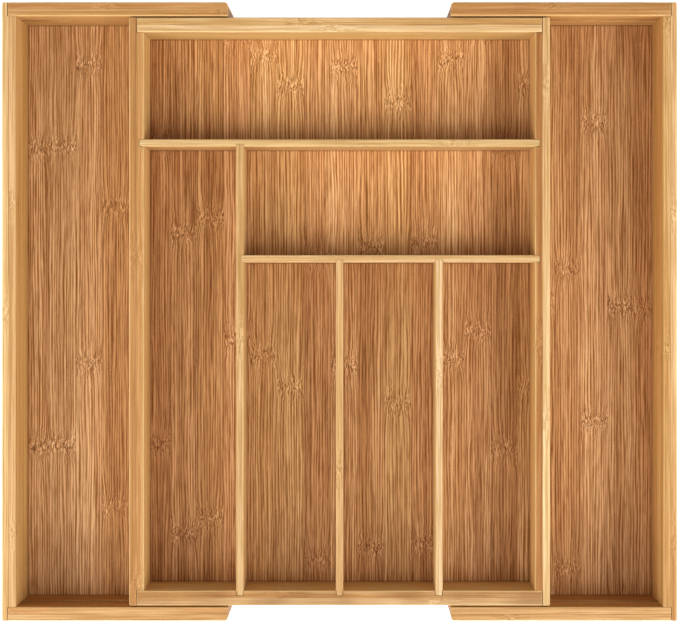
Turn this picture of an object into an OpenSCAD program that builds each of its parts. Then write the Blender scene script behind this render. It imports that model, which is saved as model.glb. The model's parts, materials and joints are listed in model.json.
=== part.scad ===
// Expandable bamboo drawer organizer: a six-compartment main tray with a
// sliding side tray at its left and at its right.
// Millimetres, +Z up, +Y towards the back. The origin is on the table under
// the centre. It is drawn at its widest, with both side trays slid right out.

/* [Overall size] */
// Front-to-back depth over the side trays
overall_depth = 450; // [300:1:520]
// Width with both side trays pushed in
closed_width = 330; // [280:1:380]
// Distance that each side tray slides out
slide_travel = 80.5; // [50:0.5:84]
// Height of the side trays
overall_height = 64; // [58:1:100]

/* [Boards] */
// Thickness of the side-tray walls
tray_wall = 10.2; // [8.5:0.1:12]
// Thickness of the main-tray walls
main_wall = 10.9; // [9.6:0.1:12]
// Thickness of the dividers
divider_wall = 5.4; // [4.5:0.1:8]
// Thickness of the floor panels
panel_thickness = 5; // [4:0.1:5.5]
// How far the divider tops stay below the wall tops
divider_drop = 0.5; // [0:0.1:2]

/* [Eased edges] */
// Radius of the eased long edges of the walls
wall_ease = 1.2; // [0.4:0.1:1.8]
// Radius of the eased top edges of the dividers
divider_ease = 1; // [0.4:0.1:1.8]
// Radius of the eased edges across the ends of a board
end_ease = 0.6; // [0.2:0.1:1]
// Radius of the upright outer corners
corner_ease = 1.6; // [0.5:0.1:3]
// Radius of the upright outer corner at each arm's free end
tip_ease = 3; // [0.5:0.1:5]

/* [Floors] */
// Height of a side-tray panel's underside above the table
tray_panel_height = 8; // [6:0.5:10]
// Clearance between the side-tray panels and the main tray above them
panel_clearance = 0.6; // [0.4:0.1:1]
// Height of the main panel's underside above the bottom of the main walls
main_panel_inset = 4.4; // [3:0.1:6]
// Depth of the grooves that hold the panels
panel_groove = 4.5; // [3.5:0.1:4.5]
// Space left at the bottom of those grooves for the panels to move
panel_slack = 0.5; // [0.3:0.1:1]

/* [Corner and divider joints] */
// Thickness of the lip that covers an end wall's end on a side tray
tray_lip = 4; // [3:0.1:5]
// Thickness of the same lip on the main tray
main_lip = 5.4; // [3:0.1:6]
// Depth of the slots that hold the dividers in the walls
wall_dado = 3.8; // [1:0.1:4]
// Depth of the slots that hold a divider in another divider
divider_dado = 2; // [1:0.1:2.2]
// Gap left between a wall's end and the lip that covers it
lip_gap = 0.3; // [0:0.1:0.5]
// Gap left between a divider's end and the bottom of its slot
slot_gap = 0.1; // [0:0.1:0.5]

/* [Slides] */
// Gap between the main tray and the end walls of the side trays
side_gap = 1; // [0.6:0.1:2]
// Height of the guide groove in the end walls of the side trays
guide_groove = 7; // [5:0.1:8]
// Depth of the guide groove
guide_groove_depth = 4; // [3:0.1:4.5]
// Distance from the wall tops down to the middle of the guide groove
guide_drop = 24.5; // [20:0.5:26]
// Clearance around a guide in its groove
guide_clearance = 0.4; // [0.3:0.1:0.6]
// Length of a guide, where the main tray has room for it
guide_length = 54; // [20:1:60]
// How far a guide is let into the main tray
guide_inlay = 3; // [2:0.1:3.5]
// Space between a guide and the bottom of its groove
guide_end_gap = 0.5; // [0.3:0.1:1]
// Distance from an arm's free end to the closed end of its guide groove
groove_stop = 9; // [6:0.5:12]
// Gap left beside the main tray when a side tray is pushed in
closed_side_gap = 1.8; // [0.5:0.1:2]
// Half of the gap left between facing arms when both side trays are pushed in
closed_arm_gap = 0.5; // [0.3:0.1:2]

/* [Compartments] */
// Clear depth of the full-width compartment at the back
back_depth = 77.6; // [50:0.1:95]
// Clear depth of the wide compartment in front of it
middle_depth = 78.8; // [50:0.1:95]

/* [Hidden] */
$fn = 48;

// Amount by which a cutting shape runs past the face it cuts
past = 1;

wall_colour = [0.87, 0.69, 0.45];
divider_colour = [0.93, 0.78, 0.55];
panel_colour = [0.72, 0.52, 0.32];
guide_colour = [0.80, 0.62, 0.38];

// Side trays: outer and inner half sizes, and the free ends of the arms
half_depth = overall_depth / 2;
half_width = closed_width / 2 + slide_travel;
tray_inner_y = half_depth - tray_wall;
tray_inner_x = half_width - tray_wall;
arm_tip_x = slide_travel + closed_arm_gap;

// Heights: side-tray panel, then main tray above it
tray_panel_top = tray_panel_height + panel_thickness;
main_bottom = tray_panel_top + panel_clearance;
main_panel_bottom = main_bottom + main_panel_inset;
main_panel_top = main_panel_bottom + panel_thickness;
divider_top = overall_height - divider_drop;

// Main tray: outer and inner half sizes
main_outer_x = closed_width / 2 - tray_wall - closed_side_gap;
main_outer_y = tray_inner_y - side_gap;
main_inner_x = main_outer_x - main_wall;
main_inner_y = main_outer_y - main_wall;

// Panels, dividers let into walls, and dividers let into dividers reach this
// far into their grooves and slots
panel_entry = panel_groove - panel_slack;
wall_entry = wall_dado - slot_gap;
divider_entry = divider_dado - slot_gap;

// Front faces of the two cross dividers
back_divider_y = main_inner_y - back_depth - divider_wall;
middle_divider_y = back_divider_y - middle_depth - divider_wall;

// Four equal columns; left faces of the dividers between them
column_width = (2 * main_inner_x - 3 * divider_wall) / 4;
column_pitch = column_width + divider_wall;
function column_x(i) = -main_inner_x + i * column_pitch - divider_wall;
long_divider_x = column_x(1);
centre_divider_x = column_x(2);
right_divider_x = column_x(3);

// Guides: their middle height, and their two ends from the centre line. They
// stop short of the ends of the walls that they are let into.
guide_z = overall_height - guide_drop;
guide_tall = guide_groove - 2 * guide_clearance;
groove_end_x = arm_tip_x + groove_stop;
guide_near_x = groove_end_x + guide_clearance;
main_end_wall_x = main_outer_x - main_lip - lip_gap;
guide_far_x = min(guide_near_x + guide_length, main_end_wall_x - guide_tall / 4);

// Box from its low corner to its high corner
module block(low, high) {
    translate(low)
        cube(high - low);
}

// Rectangle with its top corners rounded, and its bottom ones too if asked
module eased_rectangle(wide, tall, radius, bottom_too) {
    low = bottom_too ? radius : 0;
    translate([0, low])
        square([wide, tall - radius - low]);
    translate([radius, 0])
        square([wide - 2 * radius, tall]);
    for (x = [radius, wide - radius]) {
        translate([x, tall - radius])
            circle(radius);
        if (bottom_too)
            translate([x, radius])
                circle(radius);
    }
}

// Board that runs along X, with its long edges and its ends eased
module board_along_x(low, high, ease, bottom_too = true) {
    size = high - low;
    translate(low)
        intersection() {
            rotate([90, 0, 90])
                linear_extrude(size.x)
                    eased_rectangle(size.y, size.z, ease, bottom_too);
            translate([0, size.y, 0])
                rotate([90, 0, 0])
                    linear_extrude(size.y)
                        eased_rectangle(size.x, size.z, end_ease, bottom_too);
        }
}

// Board that runs along Y, with its long edges and its ends eased
module board_along_y(low, high, ease, bottom_too = true) {
    size = high - low;
    translate(low)
        intersection() {
            translate([0, size.y, 0])
                rotate([90, 0, 0])
                    linear_extrude(size.y)
                        eased_rectangle(size.x, size.z, ease, bottom_too);
            rotate([90, 0, 90])
                linear_extrude(size.x)
                    eased_rectangle(size.y, size.z, end_ease, bottom_too);
        }
}

// Cutter that rounds an upright corner at x, y, whose material lies
// towards toward_x and toward_y (each 1 or -1)
module corner_cutter(x, y, radius, toward_x, toward_y) {
    translate([x, y, -past])
        mirrored(toward_x, toward_y)
            difference() {
                translate([-past, -past, 0])
                    cube([radius + past, radius + past, overall_height + 2 * past]);
                translate([radius, radius, -past])
                    cylinder(r = radius, h = overall_height + 4 * past);
            }
}

// Mirrors its children across X, Y or both, where a sign is negative
module mirrored(sign_x, sign_y) {
    mirror([sign_x < 0 ? 1 : 0, 0, 0])
        mirror([0, sign_y < 0 ? 1 : 0, 0])
            children();
}

// Round-ended bar along X between y0 and y1, centred on the guide height
module guide_bar(x0, x1, y0, y1, tall) {
    radius = tall / 2;
    block([x0 + radius, y0, guide_z - radius], [x1 - radius, y1, guide_z + radius]);
    for (x = [x0 + radius, x1 - radius])
        translate([x, y1, guide_z])
            rotate([90, 0, 0])
                cylinder(r = radius, h = y1 - y0);
}

// Groove along X for a panel edge, in the wall face at y and away from the centre
module panel_groove_x(x0, x1, y, z) {
    block([x0, y - past, z], [x1, y + panel_groove, z + panel_thickness]);
}

// Side-tray parts, drawn for the left tray and its back wall

module tray_side_wall() {
    difference() {
        board_along_y(
            [-half_width, -half_depth, 0],
            [-tray_inner_x, half_depth, overall_height],
            wall_ease
        );
        for (end = [-1, 1])
            mirrored(1, end)
                block(
                    [-half_width + tray_lip, tray_inner_y, -past],
                    [-tray_inner_x + past, half_depth + past, overall_height + past]
                );
        block(
            [-tray_inner_x - panel_groove, -tray_inner_y - past, tray_panel_height],
            [-tray_inner_x + past, tray_inner_y + past, tray_panel_top]
        );
        for (end = [-1, 1])
            corner_cutter(-half_width, end * half_depth, corner_ease, 1, -end);
    }
}

module tray_end_wall() {
    start_x = -half_width + tray_lip + lip_gap;
    difference() {
        board_along_x(
            [start_x, tray_inner_y, 0],
            [-arm_tip_x, half_depth, overall_height],
            wall_ease
        );
        panel_groove_x(start_x - past, -arm_tip_x + past, tray_inner_y, tray_panel_height);
        guide_bar(
            start_x - guide_groove,
            -groove_end_x,
            tray_inner_y - past,
            tray_inner_y + guide_groove_depth,
            guide_groove
        );
        corner_cutter(-arm_tip_x, half_depth, tip_ease, -1, -1);
    }
}

module tray_floor_panel() {
    reach_y = tray_inner_y + panel_entry;
    block(
        [-tray_inner_x - panel_entry, -reach_y, tray_panel_height],
        [-arm_tip_x, reach_y, tray_panel_top]
    );
}

// Main-tray parts

// Left wall of the main tray, without its divider slots
module main_side_wall() {
    difference() {
        board_along_y(
            [-main_outer_x, -main_outer_y, main_bottom],
            [-main_inner_x, main_outer_y, overall_height],
            wall_ease
        );
        for (end = [-1, 1])
            mirrored(1, end)
                block(
                    [-main_outer_x + main_lip, main_inner_y, -past],
                    [-main_inner_x + past, main_outer_y + past, overall_height + past]
                );
        block(
            [-main_inner_x - panel_groove, -main_inner_y - past, main_panel_bottom],
            [-main_inner_x + past, main_inner_y + past, main_panel_top]
        );
        for (end = [-1, 1])
            corner_cutter(-main_outer_x, end * main_outer_y, corner_ease, 1, -end);
    }
}

// Back wall of the main tray, with the slots for its two guides
module main_end_wall() {
    difference() {
        board_along_x(
            [-main_end_wall_x, main_inner_y, main_bottom],
            [main_end_wall_x, main_outer_y, overall_height],
            wall_ease
        );
        panel_groove_x(
            -main_end_wall_x - past,
            main_end_wall_x + past,
            main_inner_y,
            main_panel_bottom
        );
        for (side = [-1, 1])
            mirrored(side, 1)
                guide_bar(
                    guide_near_x,
                    guide_far_x,
                    main_outer_y - guide_inlay,
                    main_outer_y + past,
                    guide_tall
                );
    }
}

// Slot along Y in a wall or divider, for the end of a divider that runs along X
module slot_for_x_divider(x0, x1, divider_y) {
    block(
        [x0, divider_y, main_panel_top],
        [x1, divider_y + divider_wall, overall_height + past]
    );
}

// Slot along X in a wall or divider, for the end of a divider that runs along Y
module slot_for_y_divider(divider_x, y0, y1) {
    block(
        [divider_x, y0, main_panel_top],
        [divider_x + divider_wall, y1, overall_height + past]
    );
}

// Divider that runs along X, with its front face at y
module x_divider(x0, x1, y) {
    board_along_x(
        [x0, y, main_panel_top],
        [x1, y + divider_wall, divider_top],
        divider_ease,
        false
    );
}

// Divider that runs along Y, with its left face at x
module y_divider(x, y0, y1) {
    board_along_y(
        [x, y0, main_panel_top],
        [x + divider_wall, y1, divider_top],
        divider_ease,
        false
    );
}

// Guide that rides in the back wall of the right tray
module guide() {
    guide_bar(
        guide_near_x,
        guide_far_x,
        main_outer_y - guide_inlay,
        tray_inner_y + guide_groove_depth - guide_end_gap,
        guide_tall
    );
}

module main_back_wall() {
    color(wall_colour)
        main_end_wall();
}

module main_front_wall() {
    color(wall_colour)
        difference() {
            mirror([0, 1, 0])
                main_end_wall();
            for (x = [long_divider_x, centre_divider_x, right_divider_x])
                slot_for_y_divider(x, -main_inner_y - wall_dado, -main_inner_y + past);
        }
}

module main_left_wall() {
    color(wall_colour)
        difference() {
            main_side_wall();
            slot_for_x_divider(-main_inner_x - wall_dado, -main_inner_x + past, back_divider_y);
        }
}

module main_right_wall() {
    color(wall_colour)
        difference() {
            mirror([1, 0, 0])
                main_side_wall();
            for (y = [back_divider_y, middle_divider_y])
                slot_for_x_divider(main_inner_x - past, main_inner_x + wall_dado, y);
        }
}

module main_floor_panel() {
    reach = [main_inner_x + panel_entry, main_inner_y + panel_entry];
    color(panel_colour)
        block(
            [-reach.x, -reach.y, main_panel_bottom],
            [reach.x, reach.y, main_panel_top]
        );
}

// Divider behind which the full-width compartment lies
module back_cross_divider() {
    color(divider_colour)
        difference() {
            x_divider(-main_inner_x - wall_entry, main_inner_x + wall_entry, back_divider_y);
            slot_for_y_divider(
                long_divider_x,
                back_divider_y - past,
                back_divider_y + divider_dado
            );
        }
}

// Divider from the long divider to the right wall
module middle_cross_divider() {
    start_x = long_divider_x + divider_wall - divider_entry;
    color(divider_colour)
        difference() {
            x_divider(start_x, main_inner_x + wall_entry, middle_divider_y);
            for (x = [centre_divider_x, right_divider_x])
                slot_for_y_divider(x, middle_divider_y - past, middle_divider_y + divider_dado);
        }
}

// Divider from the front wall to the back cross divider
module long_divider() {
    color(divider_colour)
        difference() {
            y_divider(long_divider_x, -main_inner_y - wall_entry, back_divider_y + divider_entry);
            slot_for_x_divider(
                long_divider_x + divider_wall - divider_dado,
                long_divider_x + divider_wall + past,
                middle_divider_y
            );
        }
}

module centre_divider() {
    color(divider_colour)
        y_divider(centre_divider_x, -main_inner_y - wall_entry, middle_divider_y + divider_entry);
}

module right_divider() {
    color(divider_colour)
        y_divider(right_divider_x, -main_inner_y - wall_entry, middle_divider_y + divider_entry);
}

module back_left_guide() {
    color(guide_colour)
        mirrored(-1, 1)
            guide();
}

module back_right_guide() {
    color(guide_colour)
        guide();
}

module front_left_guide() {
    color(guide_colour)
        mirrored(-1, -1)
            guide();
}

module front_right_guide() {
    color(guide_colour)
        mirrored(1, -1)
            guide();
}

module left_tray_side_wall() {
    color(wall_colour)
        tray_side_wall();
}

module left_tray_back_wall() {
    color(wall_colour)
        tray_end_wall();
}

module left_tray_front_wall() {
    color(wall_colour)
        mirrored(1, -1)
            tray_end_wall();
}

module left_tray_floor_panel() {
    color(panel_colour)
        tray_floor_panel();
}

module right_tray_side_wall() {
    color(wall_colour)
        mirrored(-1, 1)
            tray_side_wall();
}

module right_tray_back_wall() {
    color(wall_colour)
        mirrored(-1, 1)
            tray_end_wall();
}

module right_tray_front_wall() {
    color(wall_colour)
        mirrored(-1, -1)
            tray_end_wall();
}

module right_tray_floor_panel() {
    color(panel_colour)
        mirrored(-1, 1)
            tray_floor_panel();
}

main_back_wall();
main_front_wall();
main_left_wall();
main_right_wall();
main_floor_panel();
back_cross_divider();
middle_cross_divider();
long_divider();
centre_divider();
right_divider();
back_left_guide();
back_right_guide();
front_left_guide();
front_right_guide();
left_tray_side_wall();
left_tray_back_wall();
left_tray_front_wall();
left_tray_floor_panel();
right_tray_side_wall();
right_tray_back_wall();
right_tray_front_wall();
right_tray_floor_panel();
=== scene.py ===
"""Looks of the expandable bamboo drawer organizer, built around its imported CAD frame.

Every board is a new piece cut from its CAD node: welded, with its last sharp edges
broken. Walls and panels have the glue lines between their strips scored in. Each vertex
carries where it lies in the board's own grain, and one procedural shader reads that.
"""

import json
import math
from collections import namedtuple
from types import SimpleNamespace

import bmesh
import bpy
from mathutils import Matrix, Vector

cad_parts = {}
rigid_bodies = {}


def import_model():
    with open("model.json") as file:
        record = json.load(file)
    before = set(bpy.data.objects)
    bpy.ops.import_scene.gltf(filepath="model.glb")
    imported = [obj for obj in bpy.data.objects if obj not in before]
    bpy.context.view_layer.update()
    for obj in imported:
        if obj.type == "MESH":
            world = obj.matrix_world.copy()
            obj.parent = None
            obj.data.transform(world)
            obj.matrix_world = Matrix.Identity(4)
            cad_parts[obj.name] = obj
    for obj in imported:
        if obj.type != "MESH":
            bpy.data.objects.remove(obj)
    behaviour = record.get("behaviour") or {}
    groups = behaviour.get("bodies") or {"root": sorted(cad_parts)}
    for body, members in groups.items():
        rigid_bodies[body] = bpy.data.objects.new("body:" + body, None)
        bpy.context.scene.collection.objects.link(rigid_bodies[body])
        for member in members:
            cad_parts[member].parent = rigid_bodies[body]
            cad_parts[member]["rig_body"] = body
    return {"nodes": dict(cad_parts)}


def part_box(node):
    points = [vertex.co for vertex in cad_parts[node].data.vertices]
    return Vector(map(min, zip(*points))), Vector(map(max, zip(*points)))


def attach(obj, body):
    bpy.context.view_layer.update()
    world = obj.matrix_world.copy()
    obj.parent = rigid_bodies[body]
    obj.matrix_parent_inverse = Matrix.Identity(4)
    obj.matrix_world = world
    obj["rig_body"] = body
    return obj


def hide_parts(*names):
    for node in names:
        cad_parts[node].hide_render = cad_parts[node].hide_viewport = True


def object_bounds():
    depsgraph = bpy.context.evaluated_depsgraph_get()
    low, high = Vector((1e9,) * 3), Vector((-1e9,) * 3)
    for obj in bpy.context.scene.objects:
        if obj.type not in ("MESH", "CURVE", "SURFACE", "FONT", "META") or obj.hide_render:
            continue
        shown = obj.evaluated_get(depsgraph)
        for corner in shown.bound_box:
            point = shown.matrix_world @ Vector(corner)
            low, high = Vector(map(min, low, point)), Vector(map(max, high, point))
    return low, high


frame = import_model()
cad_low, cad_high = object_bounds()

MM = 0.001
AXES = {"x": 0, "y": 1, "z": 2}

# ---------------------------------------------------------------- boards

# along: the grain's direction. out: the way its outer lamination faces, with a sign.
# outer and inner: tone of the two laminations, from -1 (dark) to 1 (pale).
# face: tone added on the broad faces, which makes them paler; this is painted light, set
# board by board.
Board = namedtuple("Board", "node look along out outer inner face", defaults=(0.0,))

WALLS = [
    Board("main_back_wall", "wall", "x", "+y", 0.33, 0.62, 0.75),
    Board("main_front_wall", "wall", "x", "-y", 0.58, 0.38, 0.75),
    Board("main_left_wall", "wall", "y", "-x", -0.20, 0.00, 0.80),
    Board("main_right_wall", "wall", "y", "+x", 0.45, -0.70, 1.25),
    Board("left_tray_side_wall", "wall", "y", "-x", 0.45, 0.30, 0.42),
    Board("left_tray_back_wall", "wall", "x", "+y", -0.02, -0.07, 0.62),
    Board("left_tray_front_wall", "wall", "x", "-y", 0.25, 0.00, 0.10),
    Board("right_tray_side_wall", "wall", "y", "+x", 0.25, 0.15, 0.20),
    Board("right_tray_back_wall", "wall", "x", "+y", -0.15, -0.05, 0.60),
    Board("right_tray_front_wall", "wall", "x", "-y", 0.05, -0.08, 0.15),
]
DIVIDERS = [
    Board("back_cross_divider", "divider", "x", "+y", 0.82, 0.82, 1.00),
    Board("middle_cross_divider", "divider", "x", "+y", 0.55, 0.55, 0.50),
    Board("long_divider", "divider", "y", "+x", 0.35, 0.35, 0.50),
    Board("centre_divider", "divider", "y", "+x", 0.15, 0.15, 0.50),
    Board("right_divider", "divider", "y", "+x", 0.95, 0.95, 0.30),
]
PANELS = [
    Board("main_floor_panel", "panel", "y", "+z", 0.00, 0.00),
    Board("left_tray_floor_panel", "panel", "y", "+z", 0.35, 0.35),
    Board("right_tray_floor_panel", "panel", "y", "+z", 0.00, 0.00),
]
GUIDES = [
    Board("back_left_guide", "guide", "x", "+y", 0.20, 0.20),
    Board("back_right_guide", "guide", "x", "+y", 0.10, 0.10),
    Board("front_left_guide", "guide", "x", "-y", 0.15, 0.15),
    Board("front_right_guide", "guide", "x", "-y", 0.25, 0.25),
]

STRIP_WIDTH = 20 * MM  # width of the bamboo strips that a board is glued up from
STRIP_MARGIN = 1.5 * MM  # no glue line is scored nearer to a board's edge
STRIP_SHIFT = 0.37  # a board's seed times this says how far its strips are shifted
SCORE_WIDTH = 0.22 * MM  # width of the V-groove at a glue line
SCORE_DEPTH = 0.07 * MM
BROKEN_EDGE = 0.12 * MM  # taken off at each side of a sharp edge
JOINT_AND_SHADE_WIDTH = 1.2 * MM  # width of the dark line at the foot of a wall or divider: a dark joint with painted shade
WELD = 0.001 * MM  # points nearer to each other than this are one
FLAT = math.radians(0.2)  # neighbouring faces that turn less than this are one
SHARP = math.radians(35)  # edges that turn more than this are sharp
FIRST_SEED, SEED_STEP = 1.37, 2.618  # of the boards, in their order


def board_axes(board):
    """Indices of the grain, across and thickness axes, and the thickness sign."""
    along = AXES[board.along]
    thick = AXES[board.out[1]]
    across = 3 - along - thick
    return along, across, thick, -1 if board.out[0] == "-" else 1


def cut(bm, axis, position):
    """Adds a loop of edges all round the board at one plane."""
    normal = Vector([1.0 if i == axis else 0.0 for i in range(3)])
    bmesh.ops.bisect_plane(
        bm,
        geom=bm.verts[:] + bm.edges[:] + bm.faces[:],
        dist=WELD,
        plane_co=normal * position,
        plane_no=normal,
    )


def score(bm, axis, position):
    """Cuts a fine V-groove into the surface all round the board at one plane."""
    for offset in (-SCORE_WIDTH / 2, SCORE_WIDTH / 2, 0.0):
        cut(bm, axis, position + offset)
    bm.normal_update()
    bottom = [v for v in bm.verts if abs(v.co[axis] - position) < WELD]
    moves = [(v, v.normal.copy()) for v in bottom]
    for vertex, outwards in moves:
        outwards[axis] = 0.0
        if outwards.length > 0.1:
            vertex.co -= outwards.normalized() * SCORE_DEPTH


def footprints(panel):
    """Low and high corners of the boards that stand on a panel."""
    body = frame["nodes"][panel.node]["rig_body"]
    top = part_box(panel.node)[1].z
    found = []
    for board in WALLS + DIVIDERS:
        low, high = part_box(board.node)
        if frame["nodes"][board.node]["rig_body"] == body and low.z < top + JOINT_AND_SHADE_WIDTH:
            found.append((low, high))
    return found


def cut_contacts(bm, panel, standing):
    """Cuts a panel along and beside the foot of everything that stands on it, for the dark
    joint and painted shade line there.
    """
    low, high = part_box(panel.node)
    for axis in (0, 1):
        places = set()
        for box in standing:
            for face, away in ((box[0][axis], -1), (box[1][axis], 1)):
                places.update((face, face + away * JOINT_AND_SHADE_WIDTH))
        for place in sorted(places):
            if low[axis] + STRIP_MARGIN < place < high[axis] - STRIP_MARGIN:
                cut(bm, axis, place)


def joint_and_shade_mask(co, standing):
    """1 where a point of a panel is under or right beside a standing board: the mask of the
    dark joint and painted shade at its foot.
    """
    for low, high in standing:
        if all(low[i] - SCORE_WIDTH < co[i] < high[i] + SCORE_WIDTH for i in (0, 1)):
            return 1.0
    return 0.0


def softened(node):
    """A CAD node's mesh, welded, with its sharp outside edges broken."""
    bm = bmesh.new()
    bm.from_mesh(node.data)
    bmesh.ops.remove_doubles(bm, verts=bm.verts[:], dist=WELD)
    bmesh.ops.dissolve_limit(bm, angle_limit=FLAT, verts=bm.verts[:], edges=bm.edges[:])
    bm.normal_update()
    sharp = [
        e
        for e in bm.edges
        if e.is_manifold and e.is_convex and e.calc_face_angle(0.0) > SHARP
    ]
    bmesh.ops.bevel(
        bm,
        geom=sharp,
        offset=BROKEN_EDGE,
        offset_type="OFFSET",
        segments=2,
        profile=0.5,
        affect="EDGES",
        clamp_overlap=True,
    )
    return bm


def glue_lines(low, high, shift):
    """Where the strips of a board meet between its low and its high side."""
    lines = []
    place = 0.0 - shift
    k = 0
    while place < high - low - STRIP_MARGIN:
        if place > STRIP_MARGIN:
            lines.append(low + k * STRIP_WIDTH - shift)
        k += 1
        place = k * STRIP_WIDTH - shift
    return lines


def write_attribute(mesh, name, domain, vectors):
    made = mesh.attributes.new(name, "FLOAT_VECTOR", domain)
    for item, vector in zip(made.data, vectors):
        item.vector = vector


def write_grain(mesh, board, seed, shift, standing):
    """Attributes that tell the bamboo shader where a point lies in its board."""
    along, across, thick, sign = board_axes(board)
    low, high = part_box(board.node)
    middle = (low + high) / 2
    points = [vertex.co.copy() for vertex in mesh.vertices]
    grain = [
        (
            co[along] - low[along],
            co[across] - low[across] + shift,
            (co[thick] - middle[thick]) * sign,
        )
        for co in points
    ]
    facing = []
    for face in mesh.polygons:
        end, flat = abs(face.normal[along]), abs(face.normal[thick])
        # the third value is painted light on the broad faces
        facing.append((end, flat, flat * board.face))
    write_attribute(mesh, "grain", "POINT", grain)
    write_attribute(mesh, "tone", "POINT", [(seed, board.outer, board.inner)] * len(points))
    # the dark joint and painted shade line where a panel meets the boards that stand on it
    contact = mesh.attributes.new("contact", "FLOAT", "POINT")
    for item, co in zip(contact.data, points):
        item.value = joint_and_shade_mask(co, standing)
    write_attribute(mesh, "facing", "FACE", facing)


def board_mesh(board, seed):
    """Mesh of one board, from its CAD node, with the grain attributes."""
    _, across, thick, _ = board_axes(board)
    low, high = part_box(board.node)
    middle = (low + high) / 2
    shift = (seed * STRIP_SHIFT) % 1.0 * STRIP_WIDTH
    standing = footprints(board) if board.look == "panel" else []

    bm = softened(frame["nodes"][board.node])
    if board.look in ("wall", "panel"):
        for place in glue_lines(low[across], high[across], shift):
            score(bm, across, place)
    if LOOKS[board.look].laminated:
        score(bm, thick, middle[thick])
    cut_contacts(bm, board, standing)
    for vertex in bm.verts:
        for i in range(3):
            vertex.co[i] = min(max(vertex.co[i], low[i]), high[i])
    bmesh.ops.triangulate(bm, faces=[f for f in bm.faces if len(f.verts) > 4])
    bm.normal_update()

    mesh = bpy.data.meshes.new(board.node + "_board")
    bm.to_mesh(mesh)
    bm.free()
    write_grain(mesh, board, seed, shift, standing)
    mesh.shade_smooth()
    mesh.set_sharp_from_angle(angle=SHARP)
    return mesh


def make_board(board, seed, materials):
    """Puts one board in the scene, in place of its CAD node."""
    mesh = board_mesh(board, seed)
    piece = bpy.data.objects.new(board.node + "_bamboo", mesh)
    bpy.context.scene.collection.objects.link(piece)
    mesh.materials.append(materials[board.look])
    weighted = piece.modifiers.new("Even shading", "WEIGHTED_NORMAL")
    weighted.keep_sharp = True
    weighted.weight = 100
    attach(piece, frame["nodes"][board.node]["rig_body"])
    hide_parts(board.node)


# ---------------------------------------------------------------- bamboo shader


class Graph:
    """Adds nodes to one material's tree; a number or a socket may be an input."""

    def __init__(self, tree):
        self.tree = tree

    def node(self, kind, values=(), **properties):
        made = self.tree.nodes.new("ShaderNode" + kind)
        for name, value in properties.items():
            setattr(made, name, value)
        for socket, value in dict(values).items():
            if isinstance(value, bpy.types.NodeSocket):
                self.tree.links.new(value, made.inputs[socket])
            else:
                made.inputs[socket].default_value = value
        return made

    def maths(self, operation, *values):
        return self.node("Math", enumerate(values), operation=operation).outputs[0]

    def add(self, a, b):
        return self.maths("ADD", a, b)

    def times(self, a, b):
        return self.maths("MULTIPLY", a, b)

    def centred(self, value):
        """A value around one half, moved to lie around zero."""
        return self.maths("SUBTRACT", value, 0.5)

    def bell(self, squared, width):
        """1 at zero, falling off over a width; takes the square of the distance."""
        return self.maths("EXPONENT", self.times(squared, -1.0 / (2 * width**2)))

    def attribute(self, name, output):
        return self.node("Attribute", attribute_name=name).outputs[output]

    def vector(self, x, y, z):
        return self.node("CombineXYZ", {"X": x, "Y": y, "Z": z}).outputs[0]

    def split(self, vector):
        return self.node("SeparateXYZ", {"Vector": vector}).outputs

    def ramp(self, value, low, high, to_low=0.0, to_high=1.0):
        """value from low..high to to_low..to_high, smoothly and clamped."""
        made = self.node(
            "MapRange",
            {
                "Value": value,
                "From Min": low,
                "From Max": high,
                "To Min": to_low,
                "To Max": to_high,
            },
            interpolation_type="SMOOTHSTEP",
        )
        return made.outputs["Result"]

    def mix(self, share, a, b, blend="MIX"):
        made = self.node(
            "Mix",
            {0: share, 6: a, 7: b},
            data_type="RGBA",
            blend_type=blend,
            clamp_factor=True,
        )
        return made.outputs[2]

    def stops(self, value, *colours):
        """Colour at a value from 0 to 1 along evenly spaced stops."""
        made = self.node("ValToRGB", {"Fac": value})
        ramp = made.color_ramp.elements
        while len(ramp) < len(colours):
            ramp.new(0.5)
        for number, colour in enumerate(colours):
            ramp[number].position = number / (len(colours) - 1)
            ramp[number].color = colour
        return made.outputs["Color"]

    def noise(self, vector, detail=1.0):
        made = self.node(
            "TexNoise",
            {"Vector": vector, "Scale": 1.0, "Detail": detail, "Roughness": 0.5},
        )
        return made.outputs["Fac"]

    def white(self, vector):
        """Four random values of a cell."""
        made = self.node("TexWhiteNoise", {"Vector": vector}, noise_dimensions="3D")
        return made.outputs["Value"], *self.split(made.outputs["Color"])


def srgb(red, green, blue):
    """Linear RGBA of a colour given in 0-255 display values."""
    linear = []
    for value in (red, green, blue):
        share = value / 255
        low = share <= 0.04045
        linear.append(share / 12.92 if low else ((share + 0.055) / 1.055) ** 2.4)
    return (*linear, 1.0)


# Colours that multiply the wood's own
PLAIN = (1.0, 1.0, 1.0, 1.0)
WARM = (1.08, 0.95, 0.72, 1.0)
PINKER = (1.05, 0.95, 0.92, 1.0)
MORE_OLIVE = (0.98, 1.01, 0.86, 1.0)
BETWEEN_FIBRES = (1.52, 1.80, 2.70, 1.0)
ON_FIBRES = (0.41, 0.24, 0.00, 1.0)
# painted highlight on the relief at a node
STROKE_GLEAM = (1.35, 1.45, 1.6, 1.0)

END_GRAIN = srgb(134, 98, 62)

# Colours and scales of one use of bamboo. Lengths are in mm.
# laminated: whether the board is two laminations thick.
# pale, mid, dark: the tones 1, 0 and -1. fibre: a dark fibre bundle.
# broad_face: multiplies the colour of the broad faces.
# streaks and bands: strength of the fine lines and of the broad ones.
# comb: share of the fine lines that are evenly spaced. glue: darkness of glue lines.
# tone_spread: how far a strip's tone may be from its board's, either way.
# fibre_length: of the long bundles. node_pitch: from one node to the next.
# node_height: how far a node's own pattern reaches along the grain.
Look = namedtuple(
    "Look",
    "laminated pale mid dark fibre broad_face tone_spread streaks bands comb glue "
    "fibre_length node_pitch node_height",
)

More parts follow.
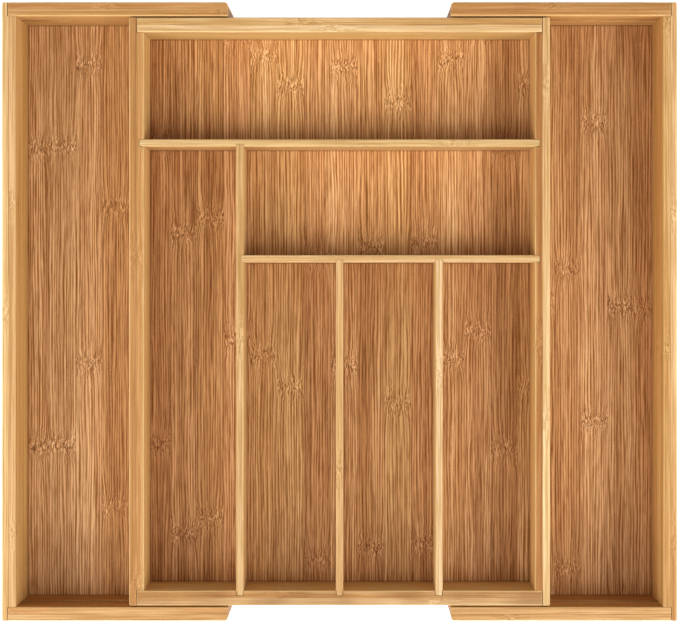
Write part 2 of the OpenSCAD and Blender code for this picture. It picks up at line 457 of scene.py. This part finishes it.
LOOKS = {
    "wall": Look(
        laminated=True,
        pale=srgb(192, 162, 113),
        mid=srgb(161, 117, 66),
        dark=srgb(122, 74, 31),
        fibre=srgb(96, 54, 20),
        broad_face=WARM,
        tone_spread=0.16,
        streaks=0.34,
        bands=0.7,
        comb=0.0,
        glue=0.70,
        fibre_length=120.0,
        node_pitch=240.0,
        node_height=5.0,
    ),
    "divider": Look(
        laminated=False,
        pale=srgb(182, 151, 106),
        mid=srgb(158, 118, 64),
        dark=srgb(132, 88, 42),
        fibre=srgb(118, 72, 30),
        broad_face=WARM,
        tone_spread=0.16,
        streaks=0.36,
        bands=0.8,
        comb=0.0,
        glue=0.70,
        fibre_length=120.0,
        node_pitch=260.0,
        node_height=3.5,
    ),
    "panel": Look(
        laminated=False,
        pale=srgb(190, 142, 85),
        mid=srgb(167, 115, 62),
        dark=srgb(140, 88, 42),
        fibre=srgb(92, 46, 14),
        broad_face=PLAIN,
        tone_spread=0.50,
        streaks=0.88,
        bands=1.0,
        comb=0.40,
        glue=0.25,
        fibre_length=48.0,
        node_pitch=225.0,
        node_height=4.5,
    ),
    "guide": Look(
        laminated=False,
        pale=srgb(196, 154, 98),
        mid=srgb(170, 118, 64),
        dark=srgb(140, 88, 42),
        fibre=srgb(104, 60, 26),
        broad_face=WARM,
        tone_spread=0.3,
        streaks=0.6,
        bands=0.8,
        comb=0.0,
        glue=0.70,
        fibre_length=95.0,
        node_pitch=300.0,
        node_height=5.0,
    ),
}

# The pattern of the wood. Lengths are in mm.
FIBRE_PITCH = 1.0  # between fibre bundles
SHORT_PITCH = 0.8  # between the shorter bundles among them
SHORT_FIBRES = 0.25  # length of the shorter ones, as a share of the long ones
LONG_SHARE = 0.60  # weight of the long bundles beside the short ones
COMB_PITCH = 2.05  # between the evenly spaced bundles
COMB_SWING = 0.17  # how dark and pale those are
COMB_WANDER = 2.5  # how far they wander sideways, as a multiple of their pitch
WANDER_SIZE = (90, 6.0)  # length and width over which they wander
BAND_SIZE = (260, 6.5)  # length and width of the broader bands of tone
DRIFT = 1.6  # how far the bundles drift sideways
DRIFT_SIZE = (150, 14)  # length and width over which they drift
NODE_TILT = 0.12  # spread of the slopes of nodes across their strips
NODE_RAGGED = 6.0  # how raggedly a node crosses its strip
RAGGED_SCALE = 0.7  # how finely, in cells of noise per mm
NODE_STEP = 2.0  # makes up for the fall of TANH from 1 to -1 between two nodes
NODE_REACH = 10.0  # about how far from a node the bundles are bent
NODE_FAN = 0.16  # how much they fan out towards it
NODE_SWEEP = 3.6  # how far they sweep sideways there
SWEEP_SIZE = (4.5, 3.0)  # length and width of one sweep
NODE_SWIRL = 1.2  # how strongly their pattern is broken up there
STROKE_SIZE = (2.6, 1.1)  # length and width of the wavy strokes at a node
GLUE_SIZE = 45  # length over which a glue line comes and goes

# How far a strip's or board's random values shift its patterns
BUNDLE_SHIFT = (31.0, 17.0, 3.1)
SHORT_SHIFT = 7.3  # fixed, of the short bundles' pattern from the long ones'
BAND_SHIFT = 23.0
STROKE_SHIFT = (19.0, 13.0)

# Ramps: the value where each starts and the value where it is complete
PINK_RAMP = (0.45, 1.0)  # of a strip's random value
OLIVE_RAMP = (0.60, 0.2)  # of the same plus a share of the bands of tone
FIBRE_RAMP = (0.36, 0.64)  # from between the fibres to on them
GLEAM_RAMP = (0.52, 0.42)  # the pale strokes at a node, painted highlights on its relief
SHADE_RAMP = (0.50, 0.62)  # and the dark ones
GLUE_RAMP = (0.45, 0.05)  # mm from the middle of a glue line
GLUE_STRENGTH_RAMP = (0.3, 0.7)  # of the noise along a glue line
SPECK_RAMP = (0.42, 0.18)  # from the middle of a cut bundle in the end grain
END_RAMP = (0.55, 0.95)  # how squarely a face looks along the grain
EDGE_WEAR_HIGHLIGHT_RAMP = (0.999, 0.93)  # how squarely a point looks along an axis
ROUGH_RAMP = (0.3, 0.7)  # from between the fibres to on them

MOST_PINK = 0.3
MOST_OLIVE = 0.6
OLIVE_BANDS = 0.4  # share of the bands in that
NODE_SHARES = (0.0, 0.8, 0.5, 1.0)  # from a strip's random value to how clear its nodes are
FAINTEST_GLUE = 0.10
JOINT_AND_SHADE_DARKNESS = 0.6  # darkness of the line at the foot of a board: a dark joint with painted shade
END_SHARE = 0.65  # of END_GRAIN in the colour of board ends
SPECK_SHADE = 0.6
SPECK_STRETCH = 0.2  # scale of the specks' pattern along the grain
SPECK_SCALE = 1.3
SPECK_RANDOMNESS = 0.9
EDGE_WEAR_HIGHLIGHT_SHARE = 0.35  # of the pale colour on an eased edge: a painted highlight with some sanding wear
DARKEST_STROKE = 0.85
ROUGHNESS = (0.40, 0.54)  # between fibres and on them
END_ROUGHNESS = 0.15  # added on board ends
RELIEF = 0.08 * MM  # height of the fibres
RELIEF_SHARE = 0.6  # of it that shows


def read_grain(g, look):
    """Where a point lies in its board's grain, and the random values of its strip."""
    at = SimpleNamespace()
    in_metres = g.attribute("grain", "Vector")
    in_mm = g.node("VectorMath", {0: in_metres, "Scale": 1 / MM}, operation="SCALE")
    at.u, at.v, at.w = g.split(in_mm.outputs[0])
    at.seed, at.outer_tone, at.inner_tone = g.split(g.attribute("tone", "Vector"))
    at.end_grain, at.flat_grain, at.face_tone = g.split(g.attribute("facing", "Vector"))
    at.contact = g.attribute("contact", "Fac")
    at.strip_place = g.maths("DIVIDE", at.v, STRIP_WIDTH / MM)
    strip = g.maths("FLOOR", at.strip_place)
    at.outer = g.maths("GREATER_THAN", at.w, 0.0) if look.laminated else 1.0
    cell = g.vector(g.add(strip, 0.5), g.add(at.outer, 0.5), at.seed)
    at.random_a, at.random_b, at.random_c, at.random_d = g.white(cell)
    return at


def pattern_place(g, at, size, u_shift, v_shift, w_shift):
    """Where a point lies in a pattern of this length and width along the bent fibres."""
    length, width = size
    return g.vector(
        g.add(g.times(at.u, 1 / length), u_shift),
        g.add(g.times(at.v_bent, 1 / width), v_shift),
        g.add(g.times(at.w, 1 / width), w_shift),
    )


def flat_place(g, at, size, random):
    """The same in a pattern along the straight grain, alike through the thickness."""
    length, width = size
    return g.vector(g.times(at.u, 1 / length), g.times(at.v, 1 / width), random)


def find_node(g, look, at):
    """Signed distance along the grain to this strip's nearest node, and how near it is."""
    tilt = g.times(g.centred(at.random_c), NODE_TILT)
    tilted = g.add(at.u, g.times(g.maths("PINGPONG", at.v, STRIP_WIDTH / MM), tilt))
    place = g.add(g.maths("DIVIDE", tilted, look.node_pitch), at.random_b)
    number = g.maths("FLOOR", place)
    straight = g.times(g.centred(g.maths("FRACT", place)), look.node_pitch)
    ragged_v, ragged_w = g.times(at.v, RAGGED_SCALE), g.times(at.w, RAGGED_SCALE)
    ragged = g.noise(g.vector(ragged_v, ragged_w, at.random_d))
    at.to_node = g.add(straight, g.times(g.centred(ragged), NODE_RAGGED))
    squared = g.times(at.to_node, at.to_node)
    at.near_node = g.bell(squared, NODE_REACH)
    at.at_node = g.bell(squared, look.node_height)
    swirl = g.maths("TANH", g.maths("DIVIDE", at.to_node, look.node_height))
    at.swirl = g.times(g.add(swirl, g.times(number, NODE_STEP)), NODE_SWIRL)


def bend_fibres(g, at):
    """Across the grain: fibres run nearly straight, and fan out and sweep near a node."""
    drift = g.noise(flat_place(g, at, DRIFT_SIZE, at.seed), 0.0)
    drifted = g.add(at.v, g.times(g.centred(drift), DRIFT))
    across = g.centred(g.maths("FRACT", at.strip_place))
    fan = g.times(g.times(across, STRIP_WIDTH / MM * NODE_FAN), at.near_node)
    sweep = g.noise(flat_place(g, at, SWEEP_SIZE, at.random_d))
    sweep = g.times(g.centred(sweep), g.times(at.near_node, NODE_SWEEP))
    at.v_bent = g.add(g.add(drifted, fan), sweep)


def bundle_noise(g, at, length, pitch, offset):
    """Fibre bundles of one length. At a node their pattern swirls."""
    u_scale, v_scale, w_scale = BUNDLE_SHIFT
    u_shift = g.add(at.swirl, g.times(at.random_a, u_scale))
    v_shift = g.times(at.random_b, v_scale)
    w_shift = g.add(g.times(at.seed, w_scale), offset)
    return g.noise(pattern_place(g, at, (length, pitch), u_shift, v_shift, w_shift))


def fibre_pattern(g, look, at):
    """0 between the fibre bundles to 1 on them."""
    long = bundle_noise(g, at, look.fibre_length, FIBRE_PITCH, 0.0)
    short = bundle_noise(g, at, look.fibre_length * SHORT_FIBRES, SHORT_PITCH, SHORT_SHIFT)
    loose = g.add(g.times(long, LONG_SHARE), g.times(short, 1 - LONG_SHARE))
    length, width = WANDER_SIZE
    along = g.add(g.times(at.u, 1 / length), at.swirl)
    wander = g.noise(g.vector(along, g.times(at.v_bent, 1 / width), at.random_c))
    turns = g.add(g.times(at.v_bent, 1 / COMB_PITCH), g.times(wander, COMB_WANDER))
    comb = g.maths("SINE", g.times(turns, 2 * math.pi))
    even = g.add(g.times(comb, COMB_SWING), 0.5)
    return g.add(g.times(loose, 1 - look.comb), g.times(even, look.comb))


def strip_colour(g, look, at):
    """Colour from the tones of the lamination, the strip and its bands, with painted light
    and a warmer tint on the broad faces.
    """
    u_shift = g.times(at.random_c, BAND_SHIFT)
    bands = g.noise(pattern_place(g, at, BAND_SIZE, u_shift, 0.0, at.seed), 0.0)
    swing = g.times(g.maths("SUBTRACT", at.outer_tone, at.inner_tone), at.outer)
    tone = g.add(at.inner_tone, swing)
    tone = g.add(tone, g.times(g.centred(at.random_a), 2 * look.tone_spread))
    tone = g.add(tone, g.times(g.centred(bands), 2 * look.bands))
    # painted light: makes the broad faces paler
    tone = g.add(tone, at.face_tone)
    colour = g.stops(g.add(g.times(tone, 0.5), 0.5), look.dark, look.mid, look.pale)
    pink = g.ramp(at.random_d, *PINK_RAMP, 0.0, MOST_PINK)
    colour = g.mix(pink, colour, PINKER, "MULTIPLY")
    olive = g.add(at.random_d, g.times(bands, OLIVE_BANDS))
    olive = g.ramp(olive, *OLIVE_RAMP, 0.0, MOST_OLIVE)
    colour = g.mix(olive, colour, MORE_OLIVE, "MULTIPLY")
    return g.mix(at.flat_grain, colour, look.broad_face, "MULTIPLY")


def with_fibres(g, look, fibres, colour):
    """Thin dark lines with paler wood between them."""
    tint = g.mix(g.ramp(fibres, *FIBRE_RAMP), BETWEEN_FIBRES, ON_FIBRES)
    return g.mix(look.streaks, colour, g.mix(1.0, colour, tint, "MULTIPLY"))


def with_strokes(g, look, at, colour):
    """Short wavy strokes at a node: dark marks beside pale painted highlights on its
    relief.
    """
    u_shift = g.times(at.random_d, STROKE_SHIFT[0])
    v_shift = g.times(at.random_b, STROKE_SHIFT[1])
    strokes = g.noise(pattern_place(g, at, STROKE_SIZE, u_shift, v_shift, at.seed))
    gleam = g.ramp(strokes, *GLEAM_RAMP)
    shade = g.ramp(strokes, *SHADE_RAMP, 0.0, DARKEST_STROKE)
    knots = g.mix(gleam, colour, STROKE_GLEAM, "MULTIPLY")
    knots = g.mix(shade, knots, look.fibre)
    share = g.times(at.at_node, g.ramp(at.random_c, *NODE_SHARES))
    return g.mix(g.times(share, look.streaks), colour, knots)


def with_glue_joints_and_foot_shade(g, look, at, colour):
    """Dark glue lines between strips and between laminations, and at the foot of boards a
    dark joint with painted shade.
    """
    rounded = g.maths("ROUND", at.strip_place)
    off_line = g.maths("ABSOLUTE", g.maths("SUBTRACT", at.strip_place, rounded))
    off_line = g.times(off_line, STRIP_WIDTH / MM)
    if look.laminated:
        off_line = g.maths("MINIMUM", off_line, g.maths("ABSOLUTE", at.w))
    strength = g.noise(g.vector(g.times(at.u, 1 / GLUE_SIZE), at.random_a, at.seed))
    strength = g.ramp(strength, *GLUE_STRENGTH_RAMP, FAINTEST_GLUE, look.glue)
    glue = g.times(g.ramp(off_line, *GLUE_RAMP), strength)
    # painted shade with a dark joint, at the foot of walls and dividers
    glue = g.maths("MAXIMUM", glue, g.times(at.contact, JOINT_AND_SHADE_DARKNESS))
    return g.mix(glue, colour, look.fibre)


def with_end_grain(g, look, at, colour):
    """Board ends are darker and greyer, speckled with cut fibre bundles."""
    speck = g.node(
        "TexVoronoi",
        {
            "Vector": g.vector(g.times(at.u, SPECK_STRETCH), at.v, at.w),
            "Scale": SPECK_SCALE,
            "Randomness": SPECK_RANDOMNESS,
        },
    ).outputs["Distance"]
    speck = g.times(g.ramp(speck, *SPECK_RAMP), SPECK_SHADE)
    end_colour = g.mix(speck, g.mix(END_SHARE, colour, END_GRAIN), look.fibre)
    return g.mix(g.ramp(at.end_grain, *END_RAMP), colour, end_colour)


def with_worn_edge_highlights(g, look, colour):
    """Paler where the surface faces none of the board's own directions: a painted highlight
    on the eased edges, with some sanding wear.
    """
    normal = g.node("NewGeometry").outputs["Normal"]
    x, y, z = [g.maths("ABSOLUTE", axis) for axis in g.split(normal)]
    squareness = g.maths("MAXIMUM", g.maths("MAXIMUM", x, y), z)
    wear_and_highlight = g.ramp(squareness, *EDGE_WEAR_HIGHLIGHT_RAMP, 0.0, EDGE_WEAR_HIGHLIGHT_SHARE)
    return g.mix(wear_and_highlight, colour, look.pale)


def satin_lacquer(g, at, fibres, colour):
    """Roughness follows the fibres, with a fine relief."""
    rough = g.ramp(fibres, *ROUGH_RAMP, *ROUGHNESS)
    rough = g.add(rough, g.times(at.end_grain, END_ROUGHNESS))
    bump = g.node("Bump", {"Height": fibres, "Strength": RELIEF_SHARE, "Distance": RELIEF})
    shader = g.node(
        "BsdfPrincipled",
        {
            "Base Color": colour,
            "Roughness": rough,
            "Normal": bump.outputs["Normal"],
            "IOR": 1.45,
            "Specular IOR Level": 0.16,
            "Coat Weight": 0.03,
            "Coat Roughness": 0.32,
        },
    )
    return shader.outputs[0]


def bamboo(name, look):
    """Strips of bamboo in the directions of the mesh's own grain attributes."""
    material = bpy.data.materials.new(name)
    material.use_nodes = True
    material.node_tree.nodes.clear()
    g = Graph(material.node_tree)
    at = read_grain(g, look)
    find_node(g, look, at)
    bend_fibres(g, at)
    fibres = fibre_pattern(g, look, at)
    colour = strip_colour(g, look, at)
    colour = with_fibres(g, look, fibres, colour)
    colour = with_strokes(g, look, at, colour)
    colour = with_glue_joints_and_foot_shade(g, look, at, colour)
    colour = with_end_grain(g, look, at, colour)
    colour = with_worn_edge_highlights(g, look, colour)
    g.node("OutputMaterial", {"Surface": satin_lacquer(g, at, fibres, colour)})
    return material


# ---------------------------------------------------------------- studio


FLOOR_SIZE = 4.0  # metres from its middle to each side
FLOOR_DROP = 0.0002  # below the organizer, so the two surfaces are not one
PAPER = (0.93, 0.93, 0.92, 1.0)
PAPER_GLOW = 0.72  # makes the floor as white as the photo's ground
ROOM_LIGHT = 0.24
WHITE = (1.0, 1.0, 1.0, 1.0)
LAMP_COLOUR = (1.0, 0.98, 0.95)


def paper_floor():
    """Plain white floor that runs out well past the camera's view."""
    bm = bmesh.new()
    bmesh.ops.create_grid(bm, x_segments=1, y_segments=1, size=FLOOR_SIZE)
    mesh = bpy.data.meshes.new("floor")
    bm.to_mesh(mesh)
    bm.free()
    material = bpy.data.materials.new("white_paper")
    material.use_nodes = True
    shader = material.node_tree.nodes["Principled BSDF"]
    shader.inputs["Base Color"].default_value = PAPER
    shader.inputs["Roughness"].default_value = 0.9
    shader.inputs["Emission Color"].default_value = WHITE
    shader.inputs["Emission Strength"].default_value = PAPER_GLOW
    mesh.materials.append(material)
    floor = bpy.data.objects.new("floor", mesh)
    bpy.context.scene.collection.objects.link(floor)
    floor.location.z = cad_low.z - FLOOR_DROP


def soft_light(name, place, target, size, power, spread=180.0):
    """Rectangular lamp at a place, aimed at a target. Spread in degrees."""
    light = bpy.data.lights.new(name, "AREA")
    light.shape = "RECTANGLE"
    light.size, light.size_y = size
    light.energy = power
    light.spread = math.radians(spread)
    light.color = LAMP_COLOUR
    lamp = bpy.data.objects.new(name, light)
    bpy.context.scene.collection.objects.link(lamp)
    lamp.location = place
    aim = Vector(target) - Vector(place)
    lamp.rotation_euler = aim.to_track_quat("-Z", "Y").to_euler()


def studio():
    """Softboxes overhead and all round, spots on the side trays, and some room light."""
    centre = (cad_low + cad_high) / 2
    centre.z = cad_high.z
    soft_light("overhead_box", (0.0, -0.95, 1.75), centre, (0.9, 1.7), 9.0)
    soft_light("front_box", (0.0, -1.70, 1.20), centre, (2.0, 0.9), 18.0)
    soft_light("back_box", (0.0, 1.30, 1.30), centre, (1.6, 0.9), 2.0)
    for side, name in ((-1, "left"), (1, "right")):
        soft_light(name + "_box", (side * 1.10, -0.20, 0.80), centre, (0.8, 1.0), 19.5)
        tray = (side * 0.25, 0.0, 0.05)
        place = (side * 0.70, -0.30, 1.00)
        soft_light(name + "_spot", place, tray, (0.4, 0.9), 0.35, 55.0)
    world = bpy.data.worlds.new("studio")
    world.use_nodes = True
    background = world.node_tree.nodes["Background"]
    background.inputs["Color"].default_value = WHITE
    background.inputs["Strength"].default_value = ROOM_LIGHT
    scene = bpy.context.scene
    scene.world = world
    scene.view_settings.view_transform = "Standard"
    scene.view_settings.look = "None"


# Metres
CAMERA_DISTANCE = 1.360  # above the wall tops
CAMERA_RIGHT = 0.012  # of the middle of the object
CAMERA_BEHIND = 0.025  # the middle of the object
VIEW_WIDTH = 0.4934  # seen at the wall tops
VIEW_SHIFT = (0.0, 0.0004)  # of the picture's middle from the object's
SENSOR_WIDTH = 36.0  # mm, as the lens is


def overhead_camera():
    """Looks straight down, with the back of the object at the top of the picture."""
    data = bpy.data.cameras.new("overhead")
    data.sensor_width = SENSOR_WIDTH
    data.lens = SENSOR_WIDTH * CAMERA_DISTANCE / VIEW_WIDTH
    data.shift_x = (VIEW_SHIFT[0] - CAMERA_RIGHT) / VIEW_WIDTH
    data.shift_y = (VIEW_SHIFT[1] - CAMERA_BEHIND) / VIEW_WIDTH
    data.clip_end = 50.0
    camera = bpy.data.objects.new("overhead", data)
    bpy.context.scene.collection.objects.link(camera)
    middle = (cad_low + cad_high) / 2
    camera.location = (
        middle.x + CAMERA_RIGHT,
        middle.y + CAMERA_BEHIND,
        cad_high.z + CAMERA_DISTANCE,
    )
    bpy.context.scene.camera = camera


# ---------------------------------------------------------------- assembly

overhead_camera()
studio()
paper_floor()
finishes = {name: bamboo("bamboo_" + name, look) for name, look in LOOKS.items()}
for number, board in enumerate(WALLS + DIVIDERS + PANELS + GUIDES):
    make_board(board, FIRST_SEED + SEED_STEP * number, finishes)
